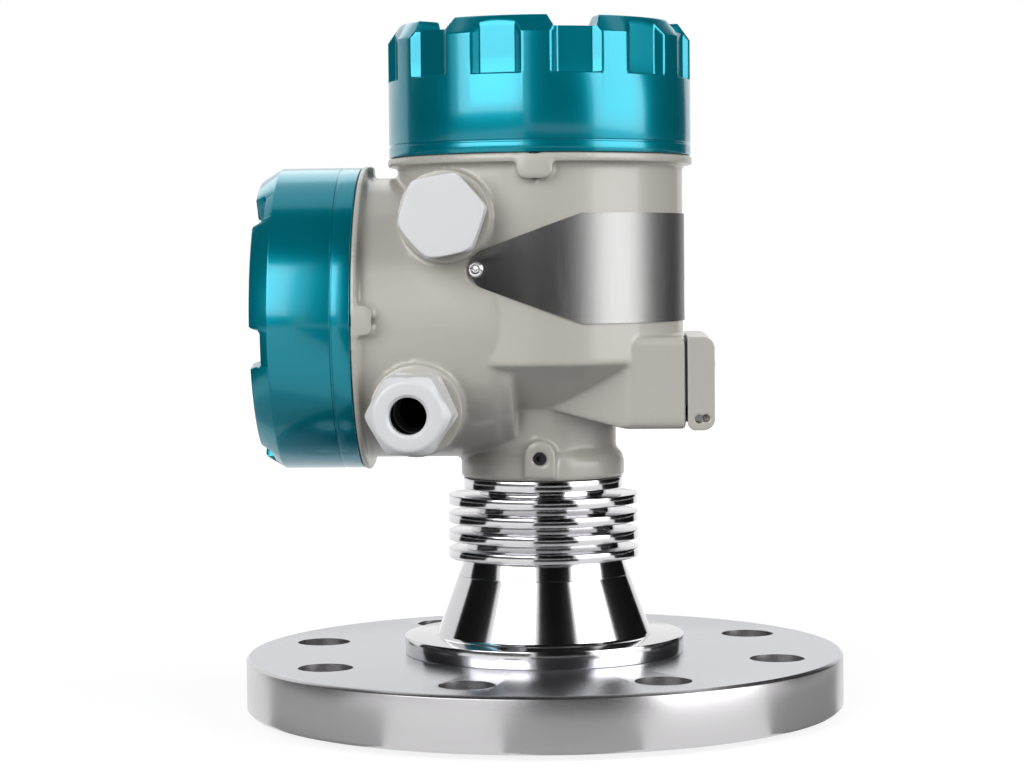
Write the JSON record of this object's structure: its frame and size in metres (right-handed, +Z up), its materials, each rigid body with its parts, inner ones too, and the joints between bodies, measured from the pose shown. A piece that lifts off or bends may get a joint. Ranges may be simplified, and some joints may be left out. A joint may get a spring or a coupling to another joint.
{
  "type": "radar level transmitter",
  "caption": "Radar level transmitter: flanged flush antenna, finned cooling neck and a swivelling two-chamber cast housing with screw covers, cable gland, blanking plug and local keys.",
  "frame": {"origin": "centre of the raised sealing face of the process flange, at the lowest point", "axes": "+Z up along the antenna and neck, side chamber along -X, cable entries facing -Y, local keys facing +X"},
  "size_m": [0.2, 0.2, 0.2292],
  "materials": {
    "turned_steel": "turned and faced stainless steel",
    "plate_steel": "brushed stainless sheet",
    "fastener_steel": "bright steel",
    "guide_brass": "plain",
    "grey_coat": "die-cast aluminium, satin powder coat",
    "teal_coat": "die-cast aluminium, gloss powder coat",
    "white_nylon": "moulded polyamide",
    "lens_ptfe": "turned fluoropolymer",
    "moulded_grey": "moulded",
    "black_rubber": "moulded",
    "display_glass": "liquid crystal display",
    "window_glass": "toughened glass"
  },
  "bodies": {
    "base": {"process_flange": "turned_steel", "antenna_hub": "turned_steel", "lens_antenna": "lens_ptfe", "lens_seal": "black_rubber", "cooling_neck": "turned_steel", "waveguide_tube": "guide_brass", "neck_seal": "black_rubber", "retaining_ring": "turned_steel"},
    "head": {"housing": "grey_coat", "nameplate": "plate_steel", "nameplate_screws": "fastener_steel", "gland_body": "white_nylon", "collar_set_screw": "fastener_steel", "cover_lock_screws": "fastener_steel", "key_gasket": "black_rubber", "key_hinge_pin": "fastener_steel", "electronics_cup": "moulded_grey", "radar_module": "fastener_steel", "display_module": "moulded_grey", "display_screen": "display_glass", "display_screws": "fastener_steel", "terminal_plate": "fastener_steel", "terminal_block": "moulded_grey", "terminal_screws": "fastener_steel", "ground_screw": "guide_brass", "cable_feedthrough": "moulded_grey"},
    "top_seal": {"top_cover_seal": "black_rubber"},
    "top_cap": {"top_cover": "teal_coat", "top_window": "window_glass", "window_gasket": "black_rubber", "window_ring": "moulded_grey"},
    "side_seal": {"side_cover_seal": "black_rubber"},
    "side_cap": {"side_cover": "teal_coat"},
    "gland_seal": {"gland_insert": "black_rubber"},
    "gland_cap": {"gland_nut": "white_nylon"},
    "plug_seal": {"plug_gasket": "black_rubber"},
    "plug": {"blanking_plug": "white_nylon"},
    "key_lid": {"key_cover": "grey_coat", "key_cover_screw": "fastener_steel"},
    "key_escape": {"escape_key": "moulded_grey"},
    "key_minus": {"minus_key": "moulded_grey"},
    "key_plus": {"plus_key": "moulded_grey"},
    "key_enter": {"enter_key": "moulded_grey"}
  },
  "joints": [
    {"name": "swivel", "type": "hinge", "parent": "base", "child": "head", "pos_m": [0, 0, 0.0789], "axis": [0, 0, 1], "range_deg": [-175, 175]},
    {"name": "top_cover_lift", "type": "slide", "parent": "head", "child": "top_seal", "axis": [0, 0, 1], "range_m": [0, 0.012]},
    {"name": "top_cover_turn", "type": "hinge", "parent": "top_seal", "child": "top_cap", "pos_m": [0, 0, 0.1855], "axis": [0, 0, 1], "range_deg": [0, 2160]},
    {"name": "side_cover_lift", "type": "slide", "parent": "head", "child": "side_seal", "axis": [-1, 0, 0], "range_m": [0, 0.012]},
    {"name": "side_cover_turn", "type": "hinge", "parent": "side_seal", "child": "side_cap", "pos_m": [-0.0593, 0, 0.1324], "axis": [-1, 0, 0], "range_deg": [0, 2160]},
    {"name": "gland_nut_lift", "type": "slide", "parent": "head", "child": "gland_seal", "axis": [0, -1, 0], "range_m": [0, 0.012]},
    {"name": "gland_nut_turn", "type": "hinge", "parent": "gland_seal", "child": "gland_cap", "pos_m": [-0.0385, -0.057, 0.1036], "axis": [0, -1, 0], "range_deg": [0, 2880]},
    {"name": "plug_lift", "type": "slide", "parent": "head", "child": "plug_seal", "axis": [0, -1, 0], "range_m": [0, 0.012]},
    {"name": "plug_turn", "type": "hinge", "parent": "plug_seal", "child": "plug", "pos_m": [-0.0288, -0.0515, 0.1654], "axis": [0, -1, 0], "range_deg": [0, 2880]},
    {"name": "key_cover_hinge", "type": "hinge", "parent": "head", "child": "key_lid", "pos_m": [0.0518, 0, 0.0996], "axis": [0, 1, 0], "range_deg": [0, 95]},
    {"name": "escape_press", "type": "slide", "parent": "head", "child": "key_escape", "axis": [-1, 0, 0], "range_m": [0, 0.0015], "stiffness_N_per_m": 400, "springref_m": -0.001},
    {"name": "minus_press", "type": "slide", "parent": "head", "child": "key_minus", "axis": [-1, 0, 0], "range_m": [0, 0.0015], "stiffness_N_per_m": 400, "springref_m": -0.001},
    {"name": "plus_press", "type": "slide", "parent": "head", "child": "key_plus", "axis": [-1, 0, 0], "range_m": [0, 0.0015], "stiffness_N_per_m": 400, "springref_m": -0.001},
    {"name": "enter_press", "type": "slide", "parent": "head", "child": "key_enter", "axis": [-1, 0, 0], "range_m": [0, 0.0015], "stiffness_N_per_m": 400, "springref_m": -0.001}
  ],
  "couplings": [
    {"joint": "top_cover_lift", "follows": "top_cover_turn", "m_per_rad": 0.0003183},
    {"joint": "side_cover_lift", "follows": "side_cover_turn", "m_per_rad": 0.0003183},
    {"joint": "gland_nut_lift", "follows": "gland_nut_turn", "m_per_rad": 0.00023873},
    {"joint": "plug_lift", "follows": "plug_turn", "m_per_rad": 0.00023873}
  ]
}
